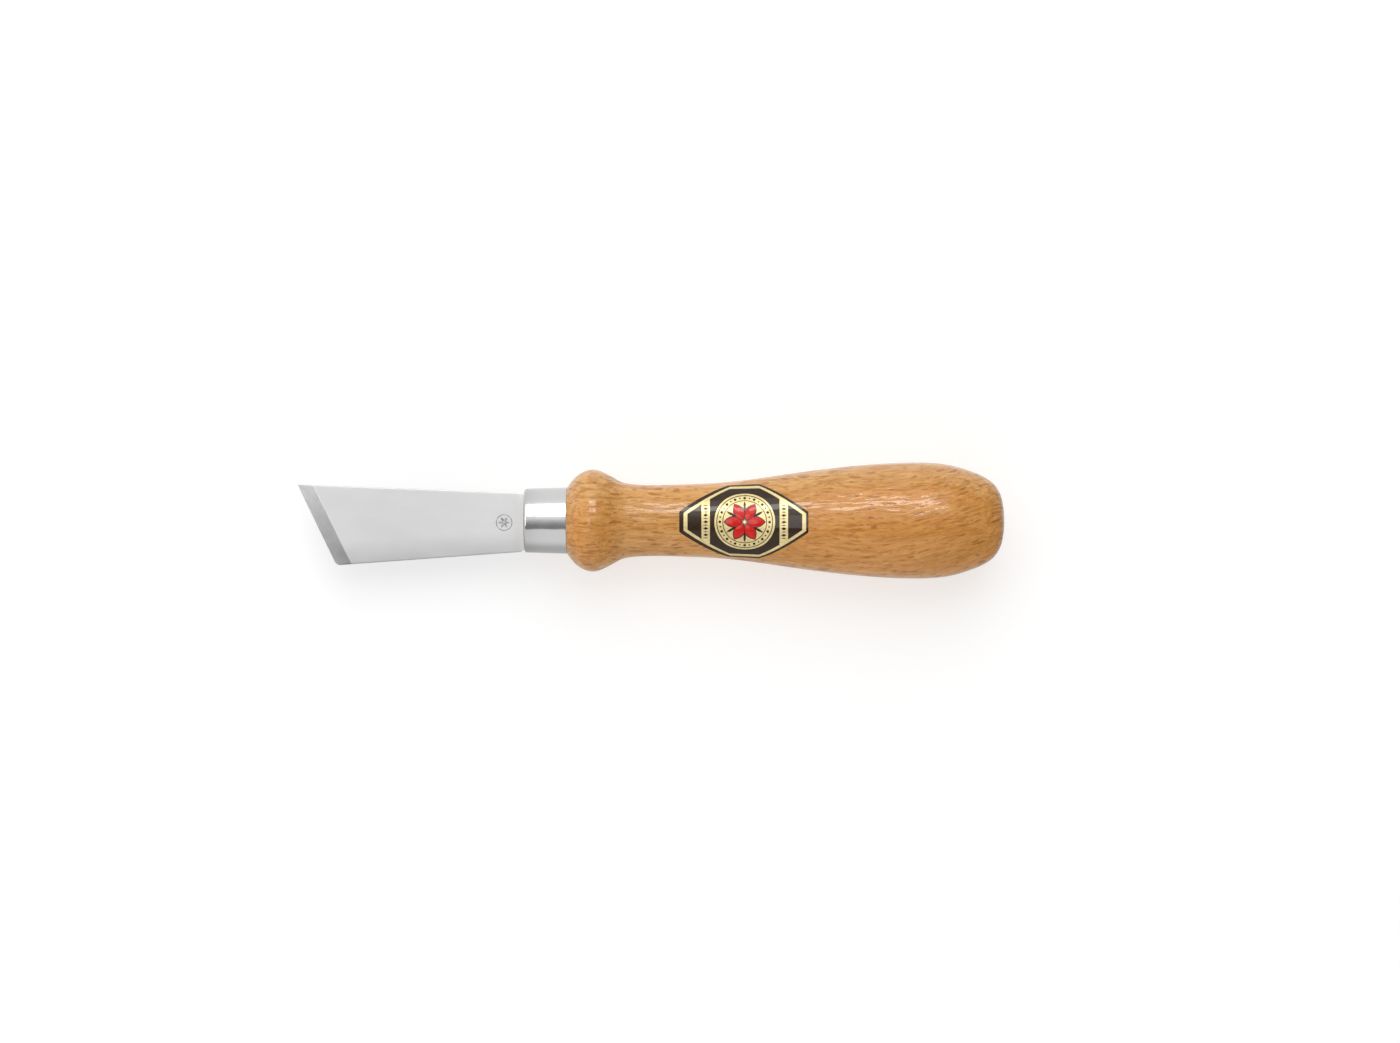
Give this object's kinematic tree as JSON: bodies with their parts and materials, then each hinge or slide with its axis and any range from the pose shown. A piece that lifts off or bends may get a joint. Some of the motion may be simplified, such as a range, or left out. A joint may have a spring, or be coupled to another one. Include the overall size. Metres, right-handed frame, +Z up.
{
  "type": "lino cutter",
  "caption": "Hand knife with a flat, skew-edged, double-bevelled steel blade, a plated ferrule and a turned beech handle with a foil label round its waist.",
  "frame": {"origin": "on the handle's axis, halfway between the blade's tip and the butt", "axes": "+X along the handle's axis, from the cutting edge towards the butt; +Z up, square to the blade's flat faces, on the side of the label; +Y across the blade, towards its tip's side"},
  "size_m": [0.1714, 0.0282, 0.0282],
  "materials": {
    "blade_steel": "satin",
    "plated_steel": "polished",
    "lacquered_beech": "gloss",
    "label_gold": "gloss",
    "label_black": "gloss",
    "label_red": "gloss"
  },
  "bodies": {
    "root": {"blade": "blade_steel", "ferrule": "plated_steel", "handle": "lacquered_beech", "label": "label_gold"}
  },
  "joints": []
}
